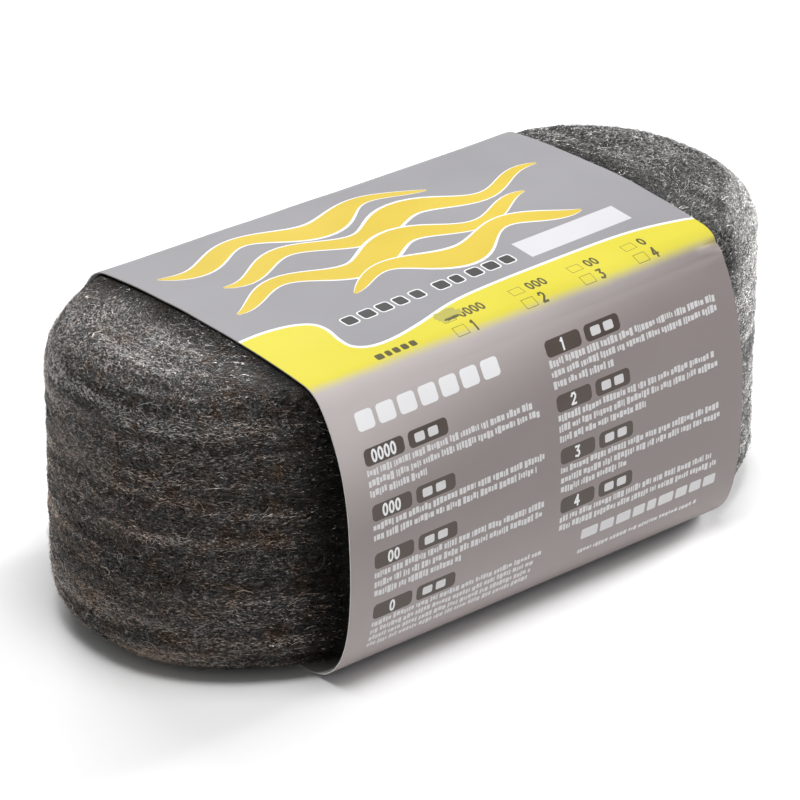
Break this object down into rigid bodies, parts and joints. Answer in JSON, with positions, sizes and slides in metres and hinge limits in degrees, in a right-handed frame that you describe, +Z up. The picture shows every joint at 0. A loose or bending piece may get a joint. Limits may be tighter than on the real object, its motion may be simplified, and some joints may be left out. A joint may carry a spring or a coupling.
{
  "type": "steel wool pad",
  "caption": "Flat-wound roll of steel wool with rounded ends, held round its middle by a printed paper sleeve, for scouring, polishing and stripping by hand.",
  "frame": {"origin": "middle of the flat face of the paper sleeve that the pad rests on", "axes": "+X along the roll's length towards the sleeve's narrower mouth, +Y towards the plain back with the glued lap, +Z up through the crown"},
  "size_m": [0.162, 0.0918, 0.0659],
  "materials": {
    "steel_wool": "fine bright steel strands, matted, dark between them",
    "printed_paper": "grey printed paper with a soft sheen"
  },
  "bodies": {
    "root": {"steel_wool_roll": "steel_wool", "paper_sleeve": "printed_paper"}
  },
  "joints": []
}
